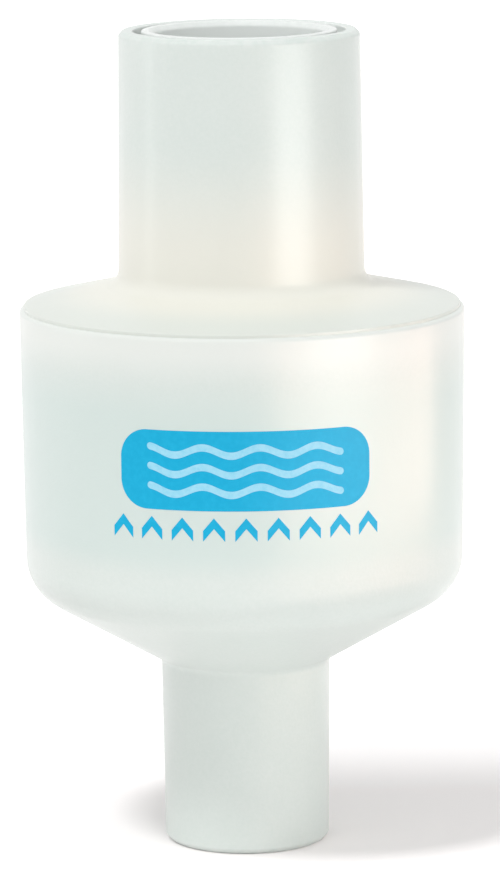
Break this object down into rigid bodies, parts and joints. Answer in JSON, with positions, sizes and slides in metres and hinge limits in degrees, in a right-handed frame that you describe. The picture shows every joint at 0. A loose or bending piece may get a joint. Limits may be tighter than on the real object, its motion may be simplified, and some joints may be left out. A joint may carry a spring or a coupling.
{
  "type": "breathing circuit filter",
  "caption": "Inline breathing filter and moisture exchanger: frosted plastic cup and welded lid round a wound paper roll, with a male cone below and a coaxial port above.",
  "frame": {"origin": "centre of the machine port's end face, on which the filter stands", "axes": "+Z along the gas path and the axis of both ports, towards the patient port"},
  "size_m": [0.0406, 0.0406, 0.0747],
  "materials": {
    "frosted_cup": "milky translucent moulded plastic, fine matt surface",
    "frosted_lid": "milky translucent moulded plastic, satin cones",
    "corrugated_paper": "cream corrugated paper strip, matt",
    "cream_felt": "cream synthetic felt, matt"
  },
  "bodies": {
    "root": {"lower_housing": "frosted_cup", "upper_housing": "frosted_lid", "exchange_roll": "corrugated_paper", "filter_pad": "cream_felt"}
  },
  "joints": []
}
